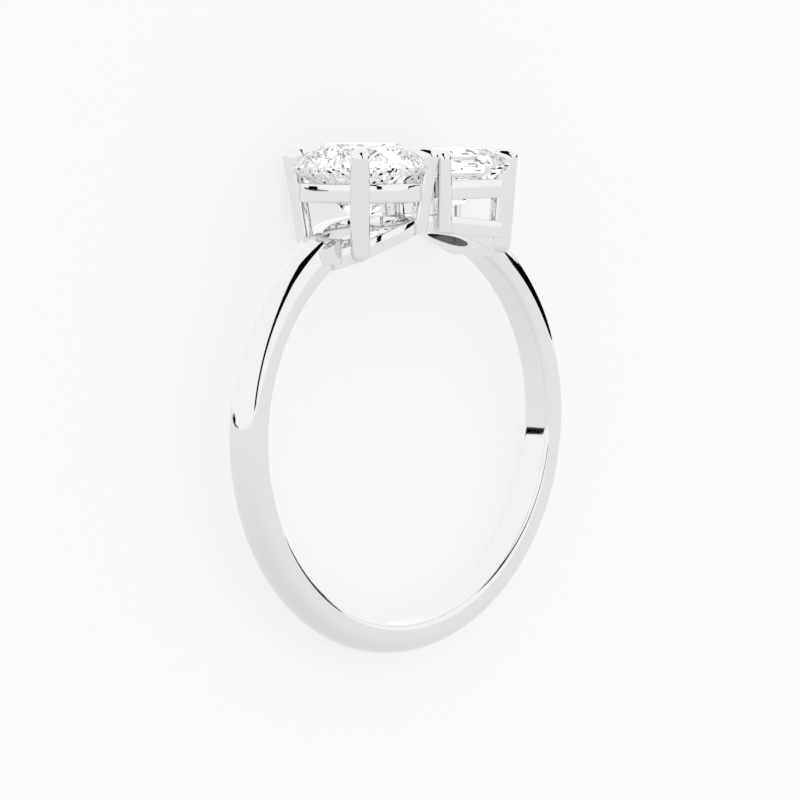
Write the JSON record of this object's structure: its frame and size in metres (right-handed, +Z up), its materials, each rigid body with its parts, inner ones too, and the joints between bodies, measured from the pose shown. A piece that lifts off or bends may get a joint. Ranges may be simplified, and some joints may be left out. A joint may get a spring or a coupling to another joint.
{
  "type": "toi et moi ring",
  "caption": "Toi et moi ring: a round and a rectangular stone side by side in claw baskets on a slim polished band, lying on its side.",
  "frame": {"origin": "middle of the ring's outline on the floor, where the ring lies on its side", "axes": "+Z up, +Y from the band's foot to the stones, +X across the head from the round stone to the rectangular one. The finger hole's axis leans a few degrees from +Z, as the ring rests on the round stone's rim and on the band."},
  "size_m": [0.019, 0.0214, 0.0055],
  "materials": {
    "metal": "polished white gold",
    "gem": "clear, cut and polished"
  },
  "bodies": {
    "root": {"ring_mount": "metal", "round_stone": "gem", "radiant_stone": "gem"}
  },
  "joints": []
}
